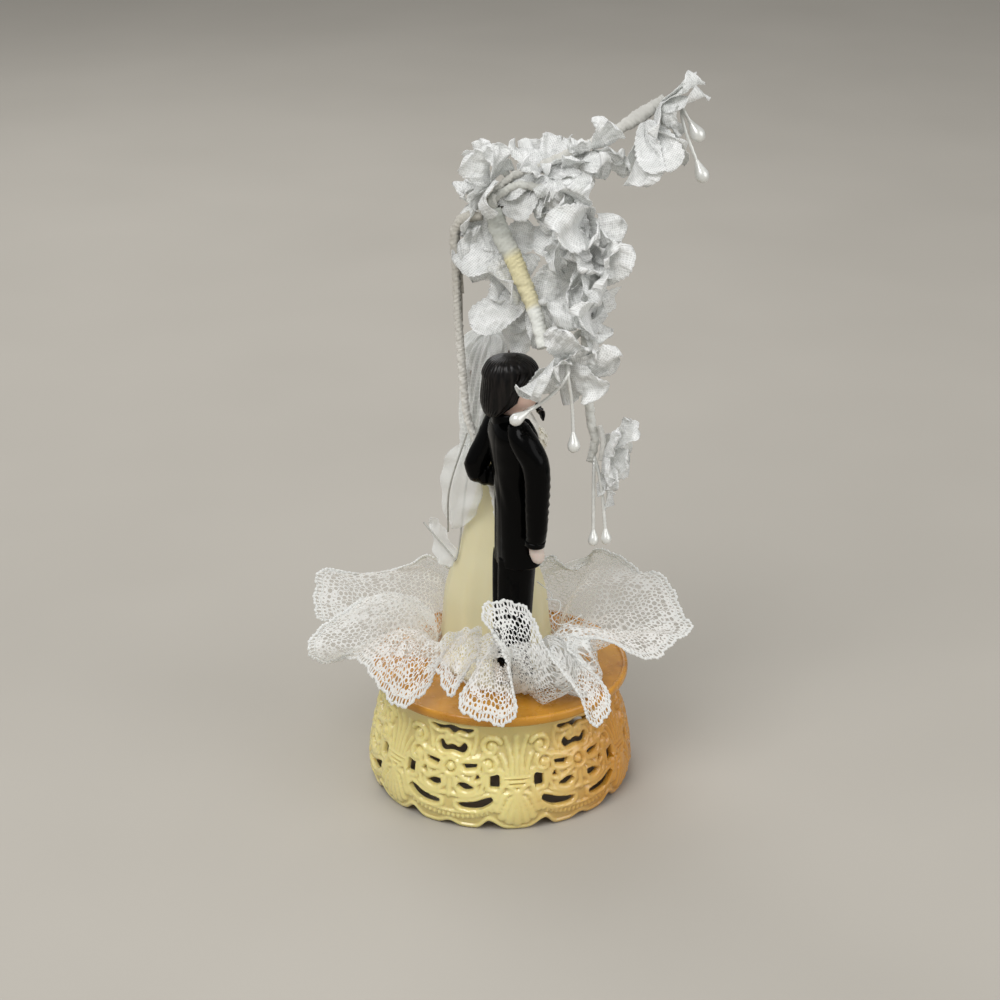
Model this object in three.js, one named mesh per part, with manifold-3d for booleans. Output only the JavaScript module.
// A vintage wedding cake topper. A moulded bride and groom stand on an amber plate over a
// pierced base, inside a gathered lace ruffle, under taped wire stems of fabric blossoms.
// Lengths are millimetres. +Z is up, the couple looks along -Y and the groom stands at -X.
import * as THREE from 'three';
import * as BufferGeometryUtils from 'three/addons/utils/BufferGeometryUtils.js';
import Module from 'manifold-3d';

const wasm = await Module();
wasm.setup();

// Pierced base
const footRadius = 38;
const neckRadius = 34;
const collarRadius = 35.8;
const neckHeight = 26;
const baseHeight = 32;
const baseWall = 1.3;
const panelCount = 6;
const medallionTurn = THREE.MathUtils.degToRad(144.5);
const notchHeight = 3;
const notchHalfWidth = 2;
const smallNotchHeight = 1.4;
const smallNotchHalfWidth = 1.4;

// Amber plate
const plateRadius = 36.8;
const plateThickness = 2.4;
const lipHeight = 0.6;
const lipWidth = 1.5;
const edgeChamfer = 0.7;
const locatingRingDepth = 2.2;
const locatingRingWall = 1.2;

// Couple
const groomHeight = 96.5;
const brideHeight = 93;
const coupleGap = 0.3;
const coupleOffset = -0.3;
const standThickness = 1.6;
const standMargin = 1;
const tieHalfWidth = 4;
const tieHalfHeight = 1.7;
const tieThickness = 1.2;
const bouquetRadius = 4.6;

// Lace ruffle
const laceThickness = 0.7;
const laceReach = 50;
const laceRise = 26;
const laceArch = 3;
const laceBand = 2.4;
const rimClearance = 1.2;
const threadRadius = 0.35;

// Wire stems. The arch stands over the groom's head
const archClearance = 36.5;
const sprayReach = 133;
const rearStemRadius = 1.1;
const bundleTopRadius = 2.5;
const bundleEndRadius = 1.7;
const sprayStemRadius = 1.1;
const branchRadius = 0.8;
const leafWireRadius = 0.4;
const stemTail = 1;

// Blossoms, stamens and leaves
const petalLength = 11;
const petalThickness = 0.5;
const stamenReach = 22;
const stamenWireRadius = 0.45;
const stamenHeadLength = 6;
const stamenHeadRadius = 1.6;
const leafLength = 29;
const leafWidth = 13;
const leafThickness = 0.5;

// Gap between pieces that meet, and how far a cut runs past the wall
const fit = 0.3;
const overrun = 2;

// Heights and places that follow from the sizes above
const plateFloor = baseHeight + plateThickness;
const lipTop = plateFloor + lipHeight;
const feetHeight = plateFloor + standThickness;
const archHeight = groomHeight + archClearance;
const groomSideShare = 0.14;
const brideSideShare = 0.126;
const coupleSpacing = groomSideShare * groomHeight + brideSideShare * brideHeight + coupleGap;
const groomPlace = new THREE.Vector3(coupleOffset - coupleSpacing / 2, 0, feetHeight);
const bridePlace = new THREE.Vector3(coupleOffset + coupleSpacing / 2, 0, feetHeight);

const topper = new THREE.Group();

function addPiece(name, geometry, colour, roughness, metalness = 0) {
  const material = new THREE.MeshStandardMaterial({ color: colour, roughness, metalness });
  const mesh = new THREE.Mesh(geometry, material);
  mesh.name = name;
  topper.add(mesh);
  return mesh;
}

// Solids for joining and cutting
function toSolid(geometry) {
  const bare = geometry.clone();
  bare.deleteAttribute('normal');
  bare.deleteAttribute('uv');
  const merged = BufferGeometryUtils.mergeVertices(bare);
  const vertProperties = new Float32Array(merged.attributes.position.array);
  const triVerts = new Uint32Array(merged.index.array);
  return new wasm.Manifold(new wasm.Mesh({ numProp: 3, vertProperties, triVerts }));
}

function toGeometry(solid) {
  const mesh = solid.getMesh();
  const geometry = new THREE.BufferGeometry();
  geometry.setAttribute('position', new THREE.BufferAttribute(mesh.vertProperties, 3));
  geometry.setIndex(new THREE.BufferAttribute(mesh.triVerts, 1));
  geometry.computeVertexNormals();
  return geometry;
}

function join(...geometries) {
  const solids = geometries.map(toSolid);
  return toGeometry(solids.reduce((sum, next) => sum.add(next)));
}

function cut(geometry, ...cutters) {
  return toGeometry(cutters.reduce((rest, cutter) => rest.subtract(toSolid(cutter)), toSolid(geometry)));
}

// Shapes. A profile runs counterclockwise as [radius, height]
function revolve(profile, segments) {
  const points = profile.map(([radius, height]) => new THREE.Vector2(radius, height));
  return new THREE.LatheGeometry(points, segments).rotateX(Math.PI / 2);
}

// A skin of rings, each a closed row of points, with a cap or a tip at both ends
function skin(rings) {
  const count = rings[0].length;
  const positions = rings.flat().flatMap((point) => [point.x, point.y, point.z]);
  const centre = (ring) => ring.reduce((sum, p) => sum.add(p), new THREE.Vector3()).divideScalar(count);
  const first = rings.length * count;
  const last = first + 1;
  positions.push(...centre(rings[0]).toArray(), ...centre(rings[rings.length - 1]).toArray());
  const index = [];
  for (let side = 0; side < count; side += 1) {
    const next = (side + 1) % count;
    index.push(first, next, side);
    for (let row = 0; row < rings.length - 1; row += 1) {
      const low = row * count;
      const high = low + count;
      index.push(low + side, low + next, high + next, low + side, high + next, high + side);
    }
    const top = (rings.length - 1) * count;
    index.push(last, top + side, top + next);
  }
  const geometry = new THREE.BufferGeometry();
  geometry.setAttribute('position', new THREE.Float32BufferAttribute(positions, 3));
  geometry.setIndex(index);
  geometry.computeVertexNormals();
  return geometry;
}

// A body part as stacked ovals. A row of shares is height, x, y, half width and half depth
function loft(rowShares, size, place, sides, grow = 0) {
  const rings = rowShares.map(([height, x, y, halfWidth, halfDepth]) => {
    const ring = [];
    for (let side = 0; side < sides; side += 1) {
      const turn = (2 * Math.PI * side) / sides;
      ring.push(new THREE.Vector3(
        place.x + x * size + (halfWidth * size + grow) * Math.cos(turn),
        place.y + y * size + (halfDepth * size + grow) * Math.sin(turn),
        place.z + height * size,
      ));
    }
    return ring;
  });
  if (grow > 0) {
    rings[0].forEach((point) => point.setZ(point.z - grow));
    rings[rings.length - 1].forEach((point) => point.setZ(point.z + grow));
  }
  return skin(rings);
}

// A tapered round limb through points, with a radius at each point
function limb(points, radii, sides) {
  const across = new THREE.Vector3(1, 0, 0);
  const rings = points.map((point, row) => {
    const before = points[Math.max(row - 1, 0)];
    const after = points[Math.min(row + 1, points.length - 1)];
    const along = after.clone().sub(before).normalize();
    const up = along.clone().cross(across).normalize();
    const right = up.clone().cross(along).normalize();
    const ring = [];
    for (let side = 0; side < sides; side += 1) {
      const turn = (2 * Math.PI * side) / sides;
      ring.push(point.clone()
        .addScaledVector(right, radii[row] * Math.cos(turn))
        .addScaledVector(up, radii[row] * Math.sin(turn)));
    }
    return ring;
  });
  return skin(rings);
}

function figureLimb(shares, size, place, sides) {
  const points = shares.map(
    ([x, y, height]) => new THREE.Vector3(x, y, height).multiplyScalar(size).add(place),
  );
  return limb(points, shares.map((row) => row[3] * size), sides);
}

// A round tube along a curve
function tube(curve, radius, steps, sides = 8) {
  const section = new THREE.Shape();
  for (let side = 0; side < sides; side += 1) {
    const turn = (2 * Math.PI * side) / sides;
    const point = [radius * Math.cos(turn), radius * Math.sin(turn)];
    if (side === 0) {
      section.moveTo(...point);
    } else {
      section.lineTo(...point);
    }
  }
  return new THREE.ExtrudeGeometry(section, { steps, extrudePath: curve, bevelEnabled: false });
}

function mirrored(shares) {
  return shares.map(([across, height]) => [-across, height]).reverse();
}

// Base wall. Rows are [height share, swell share] between the neck and the foot or collar
const footSwellShares = [
  [0, 0.66], [0.08, 0.85], [0.2, 1], [0.36, 0.95], [0.68, 0.55], [0.92, 0.09], [1, 0],
];
const collarSwellShares = [[1, 1]];
const outerWall = [
  ...footSwellShares.map(([rise, swell]) => [
    neckRadius + swell * (footRadius - neckRadius), rise * neckHeight,
  ]),
  ...collarSwellShares.map(([rise, swell]) => [
    neckRadius + swell * (collarRadius - neckRadius), neckHeight + rise * (baseHeight - neckHeight),
  ]),
];
const innerWall = outerWall.map(([radius, height]) => [radius - baseWall, height]).reverse();
const baseShell = revolve([...outerWall, ...innerWall, outerWall[0]], 24);

// Piercings of one medallion. Shares are of half a panel's turn and of the base height
const crownShares = [
  [-0.33, 0.934], [-0.25, 0.89], [-0.08, 0.902], [0, 0.863], [0.08, 0.902], [0.25, 0.89],
  [0.33, 0.934], [0.15, 0.936], [0, 0.966], [-0.15, 0.936],
];
const moustacheShares = [
  [-0.222, 0.741], [-0.16, 0.697], [0, 0.712], [0.16, 0.697], [0.222, 0.741], [0.18, 0.778],
  [0.1, 0.74], [-0.1, 0.74], [-0.18, 0.778],
];
const pairedShares = [
  [[0.186, 0.597], [0.227, 0.569], [0.377, 0.588], [0.387, 0.616]],
  [[0.392, 0.522], [0.382, 0.478], [0.439, 0.497]],
  [[0.114, 0.422], [0.227, 0.381], [0.341, 0.403], [0.227, 0.434]],
  [[0.6, 0.556], [0.594, 0.45], [0.723, 0.447], [0.712, 0.581]],
  [[0.15, 0.25], [0.206, 0.213], [0.46, 0.222], [0.62, 0.288], [0.6, 0.325], [0.36, 0.278]],
];
const piercingShares = [
  crownShares, moustacheShares, ...pairedShares, ...pairedShares.map(mirrored),
];

// A prism that cuts the wall square to it. Points are [across, height] at a turn round the base
function wallCutter(points, turn) {
  const shape = new THREE.Shape(points.map(([across, height]) => new THREE.Vector2(across, height)));
  const start = neckRadius - baseWall - overrun;
  const depth = footRadius + overrun - start;
  const prism = new THREE.ExtrudeGeometry(shape, { depth, bevelEnabled: false });
  prism.rotateX(Math.PI / 2);
  prism.rotateZ(Math.PI / 2);
  prism.translate(start, 0, 0);
  return prism.rotateZ(turn);
}

const halfPanelTurn = Math.PI / panelCount;
const halfPanelWidth = halfPanelTurn * footRadius;
const largeNotch = [[-notchHalfWidth, -overrun], [notchHalfWidth, -overrun], [0, notchHeight]];
const smallNotch = [
  [-smallNotchHalfWidth, -overrun], [smallNotchHalfWidth, -overrun], [0, smallNotchHeight],
];
const largeNotchTurnShare = 0.587;
const wallCutters = [];
for (let panel = 0; panel < panelCount; panel += 1) {
  const middle = medallionTurn + 2 * panel * halfPanelTurn;
  for (const outlineShares of piercingShares) {
    const acrosses = outlineShares.map(([across]) => across);
    const centre = (Math.min(...acrosses) + Math.max(...acrosses)) / 2;
    const points = outlineShares.map(([across, height]) => [
      (across - centre) * halfPanelWidth, height * baseHeight,
    ]);
    wallCutters.push(wallCutter(points, middle + centre * halfPanelTurn));
  }
  wallCutters.push(wallCutter(smallNotch, middle));
  wallCutters.push(wallCutter(largeNotch, middle - largeNotchTurnShare * halfPanelTurn));
  wallCutters.push(wallCutter(largeNotch, middle + largeNotchTurnShare * halfPanelTurn));
}
addPiece('filigree_base', cut(baseShell, ...wallCutters), 0xe3d08a, 0.45);

// Curves of the wire stems. The spray is in shares of its reach, from a line between the couple
// and with 1 at the top of the arch. The rear stem's heights are shares of the arch height
const coupleLine = groomPlace.x + groomSideShare * groomHeight + coupleGap / 2;
const archTop = plateFloor + archHeight;

function sprayPoint([x, y, height]) {
  return new THREE.Vector3(
    coupleLine + x * sprayReach, y * sprayReach, archTop + (height - 1) * sprayReach,
  );
}

function rearPoint([x, y, height]) {
  return sprayPoint([x, y, height]).setZ(plateFloor + height * archHeight);
}

const bundleShares = [
  [-0.006, 0.014, 1.016], [-0.018, 0.005, 0.964], [-0.039, -0.019, 0.926], [-0.066, -0.032, 0.881],
  [-0.084, -0.046, 0.844], [-0.108, -0.053, 0.814], [-0.141, -0.059, 0.761],
];
const bundlePoints = bundleShares.map(sprayPoint);
const bundleCurve = new THREE.CatmullRomCurve3(bundlePoints);
const bundleTop = bundlePoints[0];
const bundleEndFace = bundleTop.clone().sub(bundlePoints[1]).normalize();

const rearStemShares = [
  [-0.021, 0, 0.268], [-0.012, 0.005, 0.343], [-0.002, 0.014, 0.403], [0.009, 0.027, 0.441],
  [0.011, 0.041, 0.486], [0.011, 0.054, 0.531], [0.012, 0.068, 0.578], [0.013, 0.076, 0.675],
  [0.016, 0.084, 0.803], [0.016, 0.087, 0.896], [0.017, 0.088, 0.962], [0.012, 0.076, 0.99],
  [0.004, 0.056, 1],
];
const stemFootShares = [-0.034, -0.002, 0];
const rearJoinShare = 0.25;
const stemFoot = rearPoint(stemFootShares);
const stemFootEnd = stemFoot.clone().setZ(baseHeight - stemTail);
const rearStemEnd = bundlePoints[0].clone().lerp(bundlePoints[1], rearJoinShare)
  .add(new THREE.Vector3(0, bundleTopRadius + 2 * fit, 0));
const rearStemCurve = new THREE.CatmullRomCurve3([
  stemFootEnd, stemFoot, ...rearStemShares.map(rearPoint), rearStemEnd,
]);

const acrossBundle = new THREE.Vector3(sprayStemRadius + fit / 2, 0, 0);
const stemStart = bundleTop.clone().addScaledVector(bundleEndFace, fit);
const frontStemShares = [
  [-0.018, -0.024, 1.062], [-0.039, -0.053, 1.067], [-0.075, -0.11, 1.053], [-0.106, -0.14, 1],
  [-0.13, -0.147, 0.914], [-0.152, -0.14, 0.826], [-0.167, -0.139, 0.748], [-0.17, -0.15, 0.611],
  [-0.172, -0.159, 0.568], [-0.163, -0.153, 0.517],
];
const frontStemStart = stemStart.clone().sub(acrossBundle);
const frontStemCurve = new THREE.CatmullRomCurve3([
  frontStemStart, frontStemStart.clone().addScaledVector(bundleEndFace, 2 * sprayStemRadius),
  ...frontStemShares.map(sprayPoint),
]);

const topStemShares = [
  [-0.001, -0.024, 1.077], [0.002, -0.074, 1.092], [-0, -0.15, 1.121], [-0.004, -0.2, 1.144],
  [-0.006, -0.244, 1.164], [-0.009, -0.287, 1.189], [-0.012, -0.337, 1.223],
];
const topStemStart = stemStart.clone().add(acrossBundle);
const topStemCurve = new THREE.CatmullRomCurve3([
  topStemStart, topStemStart.clone().addScaledVector(bundleEndFace, 2 * sprayStemRadius),
  ...topStemShares.map(sprayPoint),
]);

// A side branch starts beside its stem and runs through the places given
function branchCurve(stemCurve, stemShare, stemRadius, places) {
  const root = stemCurve.getPointAt(stemShare);
  const tangent = stemCurve.getTangentAt(stemShare);
  const away = places[0].clone().sub(root).projectOnPlane(tangent).normalize();
  const start = root.addScaledVector(away, stemRadius + branchRadius + fit);
  return new THREE.CatmullRomCurve3([start, ...places]);
}

const innerBranchStartShare = 0.56;
const innerBranchShares = [[-0.174, -0.115, 0.79], [-0.194, -0.09, 0.757]];
const innerBranchCurve = branchCurve(
  frontStemCurve, innerBranchStartShare, sprayStemRadius, innerBranchShares.map(sprayPoint),
);
const lowerBranchStartShare = 0.83;
const lowerBranchShares = [
  [-0.182, -0.165, 0.6], [-0.192, -0.171, 0.567], [-0.189, -0.168, 0.528],
];
const lowerBranchCurve = branchCurve(
  frontStemCurve, lowerBranchStartShare, sprayStemRadius, lowerBranchShares.map(sprayPoint),
);

// Amber plate with its locating ring, and a hole where the rear stem passes through plate and stand
const ringOuter = neckRadius - baseWall - fit;
const ringInner = ringOuter - locatingRingWall;
const ringBottom = baseHeight - locatingRingDepth;
const plateBody = revolve([
  [0, baseHeight], [ringInner, baseHeight], [ringInner, ringBottom], [ringOuter, ringBottom],
  [ringOuter, baseHeight], [plateRadius - edgeChamfer, baseHeight],
  [plateRadius, baseHeight + edgeChamfer], [plateRadius, lipTop], [plateRadius - lipWidth, lipTop],
  [plateRadius - lipWidth, plateFloor], [0, plateFloor],
], 36);
const stemHole = new THREE.CylinderGeometry(
  rearStemRadius + fit, rearStemRadius + fit, plateThickness + 2 * (standThickness + overrun), 12,
);
stemHole.rotateX(Math.PI / 2);
stemHole.translate(stemFoot.x, stemFoot.y, baseHeight + plateThickness / 2);
addPiece('top_plate', cut(plateBody, stemHole), 0xd98a1e, 0.35);

// Groom. Each table is in shares of the groom's height
const torsoShares = [
  [0.375, 0, -0.022, 0.085, 0.066], [0.45, 0, -0.02, 0.083, 0.064], [0.6, 0, -0.014, 0.076, 0.06],
  [0.7, 0, -0.008, 0.09, 0.066], [0.77, 0, -0.004, 0.1, 0.066], [0.8, 0, -0.002, 0.086, 0.056],
  [0.815, 0, -0.002, 0.05, 0.044],
];
const rightSleeveShares = [
  [-0.086, -0.01, 0.788, 0.02], [-0.1, -0.022, 0.77, 0.04], [-0.114, -0.042, 0.715, 0.04],
  [-0.12, -0.048, 0.66, 0.037], [-0.124, -0.046, 0.58, 0.034], [-0.12, -0.046, 0.51, 0.031],
  [-0.112, -0.043, 0.467, 0.028],
];
const leftSleeveShares = [
  [0.094, 0, 0.785, 0.02], [0.102, 0.006, 0.77, 0.036], [0.106, 0.045, 0.7, 0.034],
  [0.104, 0.078, 0.632, 0.034], [0.1, 0.04, 0.603, 0.031], [0.085, -0.03, 0.603, 0.028],
  [0.07, -0.07, 0.605, 0.026],
];
const shirtShares = [
  [0.66, 0, -0.052, 0.008, 0.03], [0.74, 0, -0.05, 0.026, 0.032], [0.8, 0, -0.04, 0.036, 0.034],
  [0.83, 0, -0.026, 0.036, 0.036],
];
const hipShares = [
  [0.29, 0, -0.006, 0.052, 0.046], [0.34, 0, -0.01, 0.068, 0.052], [0.375, 0, -0.012, 0.074, 0.054],
];
const legShares = [
  [0.036, 0, -0.002, 0.03, 0.044], [0.12, 0, -0.004, 0.028, 0.042], [0.24, 0, -0.006, 0.031, 0.046],
  [0.34, 0, -0.008, 0.034, 0.048],
];
const shoeShares = [
  [0, 0, -0.018, 0.028, 0.062], [0.014, 0, -0.018, 0.03, 0.064], [0.026, 0, -0.01, 0.027, 0.05],
  [0.036, 0, -0.002, 0.022, 0.034],
];
const legOffsetShare = 0.034;
const rightHandShares = [
  [-0.111, -0.045, 0.461, 0.017], [-0.109, -0.05, 0.442, 0.021], [-0.107, -0.056, 0.419, 0.018],
  [-0.106, -0.059, 0.407, 0.008],
];
const leftHandShares = [
  [0.067, -0.078, 0.605, 0.016], [0.06, -0.092, 0.605, 0.02], [0.045, -0.104, 0.604, 0.018],
  [0.034, -0.107, 0.603, 0.008],
];
const headShares = [
  [0.818, 0, -0.004, 0.03, 0.03], [0.842, 0, -0.008, 0.03, 0.032], [0.85, 0, -0.022, 0.036, 0.046],
  [0.868, 0, -0.02, 0.049, 0.058], [0.9, 0, -0.014, 0.056, 0.066], [0.94, 0, -0.01, 0.057, 0.069],
  [0.97, 0, -0.006, 0.048, 0.058], [0.988, 0, -0.002, 0.02, 0.026],
];
const groomHairShares = [
  [0.835, 0, 0.058, 0.042, 0.016], [0.852, 0, 0.048, 0.058, 0.03], [0.875, 0, 0.036, 0.064, 0.044],
  [0.91, 0, 0.022, 0.066, 0.058], [0.945, 0, 0.004, 0.067, 0.078], [0.975, 0, 0, 0.06, 0.068],
  [0.993, 0, 0.002, 0.038, 0.044], [1, 0, 0.002, 0.012, 0.014],
];

const legs = [-1, 1].map((side) => {
  const legPlace = groomPlace.clone().add(new THREE.Vector3(side * legOffsetShare * groomHeight, 0, 0));
  return { side: side < 0 ? 'right' : 'left', place: legPlace };
});
for (const { side, place } of legs) {
  const shoe = loft(shoeShares, groomHeight, place, 14);
  addPiece(`groom_${side}_shoe`, shoe, 0x0b0b0c, 0.2);
}
const trouserPlace = (place) => place.clone().add(new THREE.Vector3(0, 0, fit));
const trousers = join(
  loft(hipShares, groomHeight, groomPlace, 20),
  ...legs.map(({ place }) => loft(legShares, groomHeight, trouserPlace(place), 14)),
);
addPiece('groom_trousers', trousers, 0x0b0b0d, 0.25);

const jacketPlace = groomPlace.clone().add(new THREE.Vector3(0, 0, fit));
const jacketBody = join(
  loft(torsoShares, groomHeight, jacketPlace, 20),
  figureLimb(rightSleeveShares, groomHeight, jacketPlace, 10),
  figureLimb(leftSleeveShares, groomHeight, jacketPlace, 10),
);
const jacket = cut(
  jacketBody,
  loft(shirtShares, groomHeight, jacketPlace, 14, fit),
  loft(headShares.slice(0, 3), groomHeight, groomPlace, 14, fit),
);
addPiece('groom_jacket', jacket, 0x0a0a0c, 0.18);

const shirt = cut(
  loft(shirtShares, groomHeight, jacketPlace, 14),
  loft(headShares.slice(0, 5), groomHeight, groomPlace, 14, fit),
);
addPiece('groom_shirt_front', shirt, 0xf1eee6, 0.5);

const groomHead = loft(headShares, groomHeight, groomPlace, 18);
addPiece('groom_head', groomHead, 0xe9b9a0, 0.45);
const groomHair = cut(
  loft(groomHairShares, groomHeight, groomPlace, 18),
  loft(headShares, groomHeight, groomPlace, 18, fit),
  jacket,
);
addPiece('groom_hair', groomHair, 0x241a17, 0.35);
addPiece('groom_right_hand', figureLimb(rightHandShares, groomHeight, groomPlace, 8), 0xe9b9a0, 0.45);
addPiece('groom_left_hand', figureLimb(leftHandShares, groomHeight, groomPlace, 8), 0xe9b9a0, 0.45);

// Bow tie, an outline in shares of its half width, pushed out from the shirt
const tieHeightShare = 0.825;
const tieFrontShare = 0.075;
const tieShares = [
  [-1, -1], [-0.2, -0.4], [0.2, -0.4], [1, -1], [1, 1], [0.2, 0.4], [-0.2, 0.4], [-1, 1],
];
const tieShape = new THREE.Shape(
  tieShares.map(([across, height]) => new THREE.Vector2(across * tieHalfWidth, height * tieHalfHeight)),
);
const tie = new THREE.ExtrudeGeometry(tieShape, { depth: tieThickness, bevelEnabled: false });
tie.rotateX(Math.PI / 2);
tie.translate(
  groomPlace.x,
  groomPlace.y - tieFrontShare * groomHeight - fit,
  groomPlace.z + tieHeightShare * groomHeight,
);
addPiece('groom_bow_tie', tie, 0x101012, 0.3);

// Bride. Each table is in shares of the bride's height
const skirtShares = [
  [0, 0, -0.016, 0.152, 0.17], [0.15, 0, -0.016, 0.138, 0.146], [0.27, 0, -0.016, 0.112, 0.116],
  [0.4, 0, -0.016, 0.086, 0.088], [0.48, 0, -0.016, 0.066, 0.064], [0.535, 0, -0.016, 0.052, 0.05],
];
const bodiceShares = [
  [0.535, 0, -0.016, 0.05, 0.047], [0.6, 0, -0.018, 0.06, 0.052], [0.68, 0, -0.022, 0.072, 0.062],
  [0.74, 0, -0.018, 0.078, 0.054], [0.775, 0, -0.014, 0.066, 0.044], [0.79, 0, -0.014, 0.036, 0.034],
];
const bridalArmShares = [
  [0.07, -0.014, 0.762, 0.016], [0.08, -0.014, 0.75, 0.03], [0.097, -0.006, 0.67, 0.026],
  [0.1, -0.014, 0.61, 0.024], [0.074, -0.064, 0.592, 0.02], [0.04, -0.094, 0.592, 0.017],
];
const bridalHandShares = [
  [0.034, -0.099, 0.592, 0.013], [0.023, -0.106, 0.594, 0.016], [0.012, -0.108, 0.596, 0.01],
];
const bridalHairShares = [
  [0.835, 0, 0.026, 0.046, 0.034], [0.87, 0, 0.02, 0.064, 0.052], [0.92, 0, 0.008, 0.066, 0.068],
  [0.96, 0, 0, 0.06, 0.07], [0.985, 0, 0, 0.042, 0.05], [0.994, 0, 0, 0.012, 0.014],
];
const veilOuterShares = [
  [0.6, 0, 0.05, 0.09, 0.04], [0.7, 0, 0.045, 0.098, 0.046], [0.8, 0, 0.03, 0.096, 0.056],
  [0.88, 0, 0.018, 0.086, 0.07], [0.94, 0, 0.008, 0.08, 0.078], [0.99, 0, 0, 0.062, 0.07],
  [1.012, 0, 0, 0.03, 0.034],
];
const veilInnerShares = [
  [0.58, 0, 0.04, 0.086, 0.042], [0.7, 0, 0.034, 0.09, 0.046], [0.8, 0, 0.02, 0.088, 0.056],
  [0.88, 0, 0.01, 0.078, 0.068], [0.94, 0, 0, 0.072, 0.076], [0.985, 0, -0.002, 0.052, 0.062],
  [1.003, 0, -0.002, 0.022, 0.026],
];
const veilFaceShares = [-0.03, 1.2];
const veilShoulderShares = [0.034, 0.785];
const bridalNeckDropShare = 0.03;
const bridalHeadDropShare = 0.022;

addPiece('bride_skirt', loft(skirtShares, brideHeight, bridePlace, 28), 0xe9dcb4, 0.55);
const bodicePlace = bridePlace.clone().add(new THREE.Vector3(0, 0, fit));
const mirrorLimb = (shares) => shares.map(([x, ...rest]) => [-x, ...rest]);
const bridalNeckPlace = bridePlace.clone().setZ(feetHeight - bridalNeckDropShare * brideHeight);
const bodice = cut(
  join(
    loft(bodiceShares, brideHeight, bodicePlace, 20),
    figureLimb(bridalArmShares, brideHeight, bodicePlace, 8),
    figureLimb(mirrorLimb(bridalArmShares), brideHeight, bodicePlace, 8),
  ),
  loft(headShares.slice(0, 3), brideHeight, bridalNeckPlace, 14, fit),
);
addPiece('bride_bodice', bodice, 0xf2ead2, 0.55);
for (const [side, shares] of [['right', mirrorLimb(bridalHandShares)], ['left', bridalHandShares]]) {
  addPiece(`bride_${side}_hand`, figureLimb(shares, brideHeight, bodicePlace, 8), 0xefc3ab, 0.45);
}
const bridalHeadPlace = bridePlace.clone().setZ(feetHeight - bridalHeadDropShare * brideHeight);
const bridalHead = loft(headShares, brideHeight, bridalHeadPlace, 18);
addPiece('bride_head', bridalHead, 0xefc3ab, 0.45);
const bridalHair = cut(
  loft(bridalHairShares, brideHeight, bridePlace, 18),
  loft(headShares, brideHeight, bridalHeadPlace, 18, fit),
);
addPiece('bride_hair', bridalHair, 0x5a3a22, 0.4);
// Clears all of the veil in front of a depth and below a height, both shares of the height
function clearFront(depthShare, topShare) {
  const box = new THREE.BoxGeometry(brideHeight, brideHeight, brideHeight);
  return box.translate(
    bridePlace.x,
    bridePlace.y + depthShare * brideHeight - brideHeight / 2,
    bridePlace.z + topShare * brideHeight - brideHeight / 2,
  );
}
const veil = cut(
  loft(veilOuterShares, brideHeight, bridePlace, 16),
  loft(veilInnerShares, brideHeight, bridePlace, 16),
  loft(bridalHairShares, brideHeight, bridePlace, 18, 2 * fit),
  clearFront(...veilFaceShares),
  clearFront(...veilShoulderShares),
);
addPiece('bride_veil', veil, 0xf4f3ee, 0.7);
const bouquetBackShares = [0, -0.086, 0.658];
const bouquet = new THREE.IcosahedronGeometry(bouquetRadius, 2);
const bouquetBack = new THREE.Vector3(...bouquetBackShares).multiplyScalar(brideHeight).add(bridePlace);
bouquet.translate(bouquetBack.x, bouquetBack.y - bouquetRadius, bouquetBack.z);
addPiece('bride_bouquet', bouquet, 0xf7f4ea, 0.7);

// Stand under the feet, an oval that follows the skirt hem and the groom's shoes
const skirtHalfWidth = skirtShares[0][3] * brideHeight;
const skirtHalfDepth = skirtShares[0][4] * brideHeight;
const skirtMiddle = skirtShares[0][2] * brideHeight;
const standRight = bridePlace.x + skirtHalfWidth + standMargin;
const standLeft = groomPlace.x - (legOffsetShare + shoeShares[1][3]) * groomHeight - standMargin;
const standMiddle = new THREE.Vector3((standRight + standLeft) / 2, skirtMiddle, plateFloor);
const standHalfLength = (standRight - standLeft) / 2;
const standHalfWidth = skirtHalfDepth + 2 * standMargin;
const standShape = new THREE.Shape();
standShape.absellipse(
  standMiddle.x, standMiddle.y, standHalfLength, standHalfWidth, 0, 2 * Math.PI, false, 0,
);
const stand = new THREE.ExtrudeGeometry(standShape, {
  depth: standThickness, bevelEnabled: false, curveSegments: 18,
});
stand.translate(0, 0, plateFloor);
addPiece('figure_stand', cut(stand, stemHole), 0xf0e9d2, 0.5);

// Lace ruffle. Its free edge runs through folds given as a turn in degrees from the groom's
// side, a share of the reach and a share of the rise over the plate
const groomSideTurn = THREE.MathUtils.degToRad(167);
const foldShares = [
  [-176, 0.92, 0.62], [-165, 1, 0.2], [-153, 0.92, 0.78], [-140, 1.02, 0.22], [-127, 0.94, 0.88],
  [-114, 1.08, 0.34], [-103, 1.04, 0.96], [-94, 1.12, 0.45], [-84, 1.12, 0.1], [-72, 0.96, 0.76],
  [-61, 1, 0.18], [-48, 0.86, -0.1], [-37, 0.72, 0.8], [-25, 0.88, 0.14], [-13, 0.86, -0.08],
  [-4, 0.78, 0.3], [4, 0.6, 1.1], [13, 0.62, 0.95], [21, 0.82, 0.16], [29, 0.7, 0.75],
  [38, 0.8, 0.2], [47, 0.86, -0.22], [58, 0.86, 0.16], [68, 0.9, 0.84], [80, 1.08, 0.22],
  [91, 1.1, 0.5], [101, 1.04, 1], [113, 1.08, 0.36], [124, 0.94, 0.92], [137, 1.02, 0.28],
  [150, 0.96, 0.76], [163, 1.02, 0.2],
];
const foldTurns = foldShares.map(([degrees]) => THREE.MathUtils.degToRad(degrees));
const laceOpeningLength = standHalfLength + fit;
const laceOpeningWidth = standHalfWidth + fit;
const laceColumns = 90;
const laceSweep = 1.2;
const usualRimShare = 0.6;
const lastRimShare = 0.96;

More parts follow.
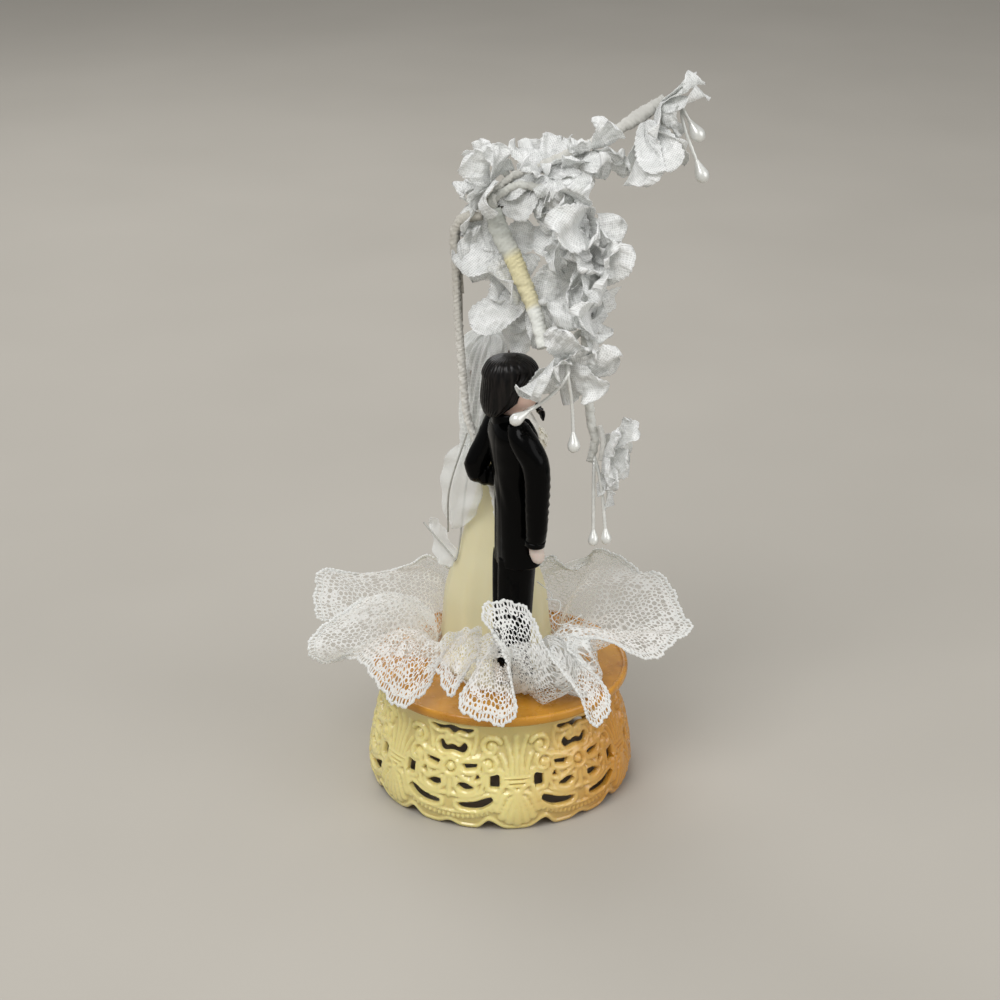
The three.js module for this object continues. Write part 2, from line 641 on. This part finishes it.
function foldAt(turn, column) {
  const count = foldTurns.length;
  const wrapped = (value) => Math.atan2(Math.sin(value), Math.cos(value));
  const ahead = foldTurns.findIndex((foldTurn) => foldTurn > wrapped(turn));
  const next = ahead < 0 ? 0 : ahead;
  const previous = (next + count - 1) % count;
  const span = wrapped(foldTurns[next] - foldTurns[previous]);
  const share = wrapped(turn - foldTurns[previous]) / span;
  const ease = (1 - Math.cos(Math.PI * share)) / 2;
  return THREE.MathUtils.lerp(foldShares[previous][column], foldShares[next][column], ease);
}

function laceRow(turn) {
  const heading = groomSideTurn + turn;
  const direction = new THREE.Vector3(Math.cos(heading), Math.sin(heading), 0);
  const oval = (grow) => new THREE.Vector3(
    standMiddle.x + (laceOpeningLength + grow) * direction.x,
    standMiddle.y + (laceOpeningWidth + grow) * direction.y,
    plateFloor,
  );
  const band = oval(laceBand);
  const edge = direction.clone().multiplyScalar(foldAt(turn, 1) * laceReach);
  edge.z = lipTop + foldAt(turn, 2) * laceRise;
  const flat = (point) => Math.hypot(point.x, point.y);
  const toRim = (plateRadius + rimClearance - flat(band)) / (flat(edge) - flat(band));
  const rimShare = toRim > 0 && toRim < lastRimShare ? toRim : usualRimShare;
  const rows = [oval(0), band];
  for (const share of [rimShare / 2, rimShare, (1 + rimShare) / 2, 1]) {
    const point = band.clone().lerp(edge, share);
    const arch = Math.sin(Math.PI * share) * laceArch;
    point.z = plateFloor + (edge.z - plateFloor) * share ** laceSweep + arch;
    if (share <= Math.max(rimShare, toRim)) {
      point.z = Math.max(point.z, lipTop + 2 * fit);
    }
    rows.push(point);
  }
  return rows;
}

function laceRuffle() {
  const rows = [];
  for (let column = 0; column < laceColumns; column += 1) {
    rows.push(laceRow(-Math.PI + (2 * Math.PI * column) / laceColumns));
  }
  const depth = rows[0].length;
  const under = [];
  const over = [];
  rows.forEach((row, column) => {
    const before = rows[(column + laceColumns - 1) % laceColumns];
    const after = rows[(column + 1) % laceColumns];
    row.forEach((point, step) => {
      const along = after[step].clone().sub(before[step]);
      const outward = row[Math.min(step + 1, depth - 1)].clone().sub(row[Math.max(step - 1, 0)]);
      const normal = step < 2 ? new THREE.Vector3(0, 0, 1) : outward.cross(along).normalize();
      under.push(point);
      over.push(point.clone().addScaledVector(normal, laceThickness));
    });
  });
  const positions = [...under, ...over].flatMap((point) => point.toArray());
  const top = under.length;
  const index = [];
  const quad = (a, b, c, d) => index.push(a, b, c, a, c, d);
  for (let column = 0; column < laceColumns; column += 1) {
    const here = column * depth;
    const next = ((column + 1) % laceColumns) * depth;
    for (let step = 0; step < depth - 1; step += 1) {
      quad(here + step, next + step, next + step + 1, here + step + 1);
      quad(top + here + step, top + here + step + 1, top + next + step + 1, top + next + step);
    }
    quad(here, top + here, top + next, next);
    quad(here + depth - 1, next + depth - 1, top + next + depth - 1, top + here + depth - 1);
  }
  const geometry = new THREE.BufferGeometry();
  geometry.setAttribute('position', new THREE.Float32BufferAttribute(positions, 3));
  geometry.setIndex(index);
  geometry.computeVertexNormals();
  return geometry;
}
addPiece('lace_ruffle', laceRuffle(), 0xf2f1ee, 0.85);

// Gathering thread on the band of the ruffle
function gatheringThread() {
  const middle = laceBand / 2;
  const height = plateFloor + laceThickness + threadRadius;
  const sides = 5;
  const steps = 28;
  const positions = [];
  const index = [];
  for (let step = 0; step < steps; step += 1) {
    const turn = (2 * Math.PI * step) / steps;
    for (let side = 0; side < sides; side += 1) {
      const roll = (2 * Math.PI * side) / sides;
      const grow = middle + threadRadius * Math.cos(roll);
      positions.push(
        standMiddle.x + (laceOpeningLength + grow) * Math.cos(turn),
        standMiddle.y + (laceOpeningWidth + grow) * Math.sin(turn),
        height + threadRadius * Math.sin(roll),
      );
      const here = step * sides;
      const next = ((step + 1) % steps) * sides;
      const up = (side + 1) % sides;
      index.push(here + side, next + side, next + up, here + side, next + up, here + up);
    }
  }
  const geometry = new THREE.BufferGeometry();
  geometry.setAttribute('position', new THREE.Float32BufferAttribute(positions, 3));
  geometry.setIndex(index);
  geometry.computeVertexNormals();
  return geometry;
}
addPiece('gathering_thread', gatheringThread(), 0xefeee9, 0.8);

// Taped wire stems
const bundleRadii = bundlePoints.map((point, row) => THREE.MathUtils.lerp(
  bundleTopRadius, bundleEndRadius, row / (bundlePoints.length - 1),
));
addPiece('rear_stem', tube(rearStemCurve, rearStemRadius, 32), 0xd9d5c8, 0.8);
addPiece('spray_bundle', limb(bundlePoints, bundleRadii, 10), 0xe8dcae, 0.8);
addPiece('front_stem', tube(frontStemCurve, sprayStemRadius, 22), 0xece8da, 0.8);
addPiece('top_stem', tube(topStemCurve, sprayStemRadius, 14), 0xece8da, 0.8);
addPiece('inner_branch', tube(innerBranchCurve, branchRadius, 6), 0xece8da, 0.8);
addPiece('lower_branch', tube(lowerBranchCurve, branchRadius, 6), 0xece8da, 0.8);

// A blossom of five petals. Rows are [share along the petal, spread share, depth share]
const petalCount = 5;
const openRowShares = [[0.14, 0.1, 0.12], [0.45, 0.45, 0.3], [0.75, 0.78, 0.38], [1, 1, 0.36]];
const bellRowShares = [[0.14, 0.14, 0.1], [0.45, 0.4, 0.42], [0.75, 0.58, 0.74], [1, 0.74, 1]];
const petalNotchShare = 0.3;

function blossom(rowShares, turn) {
  const sides = 2 * petalCount;
  const surface = (wall) => rowShares.map(([along, spread, depth], row) => {
    const before = rowShares[Math.max(row - 1, 0)];
    const after = rowShares[Math.min(row + 1, rowShares.length - 1)];
    const slope = Math.atan2(after[2] - before[2], after[1] - before[1]);
    const lift = row === 0 ? wall : wall * Math.cos(slope);
    const ring = [];
    for (let side = 0; side < sides; side += 1) {
      const angle = turn + (2 * Math.PI * side) / sides;
      const shrink = side % 2 === 0 ? 1 : 1 - petalNotchShare * along;
      const radius = spread * petalLength * shrink - wall * Math.sin(slope);
      ring.push(new THREE.Vector3(
        radius * Math.cos(angle), radius * Math.sin(angle), depth * petalLength + lift,
      ));
    }
    return ring;
  });
  const outer = surface(0);
  const inner = surface(petalThickness).reverse();
  const rings = [...outer, ...inner];
  return skin(rings);
}

// Blossoms as name, stem, share along the stem, stem radius, facing and form. The base of a
// blossom stands beside its stem, or just past the end of it
const blossomTurn = Math.PI / 7;
const blossomShares = [
  ['rear_crown_blossom', topStemCurve, 0.09, sprayStemRadius, [0.35, 0.75, 0.6], openRowShares],
  ['front_crown_blossom', topStemCurve, 0.3, sprayStemRadius, [-0.55, 0.1, 0.85], openRowShares],
  ['hanging_top_blossom', topStemCurve, 0.58, sprayStemRadius, [-0.6, -0.15, -0.75], bellRowShares],
  ['bell_blossom', topStemCurve, 0.87, sprayStemRadius, [-0.45, -0.25, -0.85], bellRowShares],
  ['tip_blossom', topStemCurve, 1, sprayStemRadius, [-0.25, -0.9, 0.3], openRowShares],
  ['upper_side_blossom', frontStemCurve, 0.32, sprayStemRadius, [0.3, -0.9, -0.1], bellRowShares],
  ['middle_side_blossom', frontStemCurve, 0.4, sprayStemRadius, [-0.95, -0.1, 0.1], bellRowShares],
  ['ribbed_side_blossom', frontStemCurve, 0.49, sprayStemRadius, [0.4, -0.9, -0.2], bellRowShares],
  ['lower_side_blossom', frontStemCurve, 0.57, sprayStemRadius, [-0.8, -0.7, 0.05], bellRowShares],
  ['upper_inner_blossom', bundleCurve, 0.3, bundleTopRadius, [0.8, 0.3, -0.72], openRowShares],
  ['lower_inner_blossom', bundleCurve, 0.66, bundleTopRadius, [0.8, 0.1, -0.6], openRowShares],
  ['front_face_blossom', innerBranchCurve, 1, branchRadius, [-0.8, 0.1, -0.55], openRowShares],
  ['hanging_low_blossom', lowerBranchCurve, 0.96, branchRadius, [-0.2, -0.95, -0.2], bellRowShares],
];
const blossomSeats = {};
blossomShares.forEach(([name, curve, share, radius, lean, rowShares], number) => {
  const facing = new THREE.Vector3(...lean).normalize();
  const clearance = share === 1 ? 2 * fit : radius + fit;
  const geometry = blossom(rowShares, number * blossomTurn);
  const up = new THREE.Vector3(0, 0, 1);
  geometry.applyQuaternion(new THREE.Quaternion().setFromUnitVectors(up, facing));
  const base = curve.getPointAt(share)
    .addScaledVector(facing, clearance - rowShares[0][2] * petalLength);
  geometry.translate(base.x, base.y, base.z);
  addPiece(name, geometry, 0xf6f6f2, 0.6);
  blossomSeats[name] = { place: base, facing, rowShares };
});

// A stamen is a thread folded at the blossom's throat with a bead on both ends. Its places are
// shares of the stamen reach from the fold. The low one is folded behind its blossom
const pearlShares = [[0, 0], [0.06, 0.3], [0.3, 0.62], [0.62, 0.95], [0.85, 0.8], [1, 0]];
const stamenShares = [
  ['tip_stamens', 'tip_blossom', 'throat', [
    [[-0.16, -0.22, -0.1], [-0.24, -0.34, -0.3]],
    [[-0.2, -0.14, -0.24], [-0.3, -0.34, -0.74]],
  ]],
  ['face_stamens', 'front_face_blossom', 'throat', [
    [[-0.2, 0.25, -0.34], [-0.22, 0.62, -0.56]],
    [[-0.14, -0.04, -0.5], [-0.2, -0.05, -0.945]],
  ]],
  ['low_stamens', 'hanging_low_blossom', 'back', [
    [[-0.08, 0.03, -0.26], [-0.18, 0.05, -0.99]],
    [[-0.1, -0.06, -0.34], [-0.22, -0.1, -0.97]],
  ]],
];

function stamenHead(tip, direction) {
  const profile = pearlShares.map(([along, width]) => [width * stamenHeadRadius, along * stamenHeadLength]);
  const bead = revolve(profile, 8);
  bead.applyQuaternion(new THREE.Quaternion().setFromUnitVectors(new THREE.Vector3(0, 0, 1), direction));
  const base = tip.clone().addScaledVector(direction, -stamenHeadLength / 2);
  return bead.translate(base.x, base.y, base.z);
}

for (const [name, blossomName, seat, routes] of stamenShares) {
  const { place, facing, rowShares } = blossomSeats[blossomName];
  const capDepth = rowShares[0][2] * petalLength;
  const foldDepth = seat === 'throat'
    ? capDepth + petalThickness + stamenWireRadius + fit
    : capDepth - stamenWireRadius - 2 * branchRadius - 3 * fit;
  const fold = place.clone().addScaledVector(facing, foldDepth);
  const mouth = fold.clone().addScaledVector(facing, rowShares[3][2] * petalLength);
  const threads = routes.map((routeShares) => {
    const points = [
      fold,
      ...(seat === 'throat' ? [mouth] : []),
      ...routeShares.map((share) => new THREE.Vector3(...share).multiplyScalar(stamenReach).add(fold)),
    ];
    const curve = new THREE.CatmullRomCurve3(points);
    const bead = stamenHead(points[points.length - 1], curve.getTangentAt(1));
    return join(tube(curve, stamenWireRadius, 5, 5), bead);
  });
  addPiece(name, join(...threads), 0xf3f1ea, 0.35);
}

// Organza leaves behind the couple, each with a wire rib on its back. Rows are name, share of the
// rear stem where the wire starts, share of the wire where the leaf starts, and the wire's places
const leafRowShares = [[0.03, 0.1], [0.25, 0.75], [0.5, 1], [0.75, 0.72], [0.97, 0.08]];
const leafFacing = new THREE.Vector3(0.6, -0.8, 0);
const leafShares = [
  ['upper_leaf', 0.52, 0.12, [0.036, 0.1, 0.4], [0.081, 0.095, 0.28]],
  ['lower_leaf', 0.48, 0.56, [0.042, 0.06, 0.418], [0.072, 0.065, 0.313], [0.074, 0.072, 0.249],
    [0.067, 0.082, 0.217], [0.099, 0.086, 0.217], [0.284, 0.108, 0.216]],
];
for (const [name, stemShare, rootShare, ...placeShares] of leafShares) {
  const places = placeShares.map(rearPoint);
  const rib = branchCurve(rearStemCurve, stemShare, rearStemRadius, places);
  const root = rib.getPointAt(rootShare);
  const tip = rib.getPointAt(1);
  const along = tip.clone().sub(root).normalize();
  const side = along.clone().cross(leafFacing).normalize();
  const back = side.clone().cross(along).normalize();
  const lifted = root.clone().addScaledVector(back, leafWireRadius + fit);
  const rings = leafRowShares.map(([share, width]) => {
    const middle = lifted.clone().addScaledVector(along, share * leafLength);
    const half = side.clone().multiplyScalar((width * leafWidth) / 2);
    const thick = back.clone().multiplyScalar(leafThickness);
    return [
      middle.clone().sub(half).add(thick), middle.clone().add(half).add(thick),
      middle.clone().add(half), middle.clone().sub(half),
    ];
  });
  addPiece(name, skin(rings), 0xf4f4f0, 0.7);
  addPiece(`${name}_wire`, tube(rib, leafWireRadius, 16, 6), 0x4a4640, 0.6);
}

// The origin is the centre of the underside of the whole topper
const bounds = new THREE.Box3().setFromObject(topper);
const middle = bounds.getCenter(new THREE.Vector3());
topper.position.set(-middle.x, -middle.y, -bounds.min.z);
topper.updateMatrixWorld(true);

export default topper;
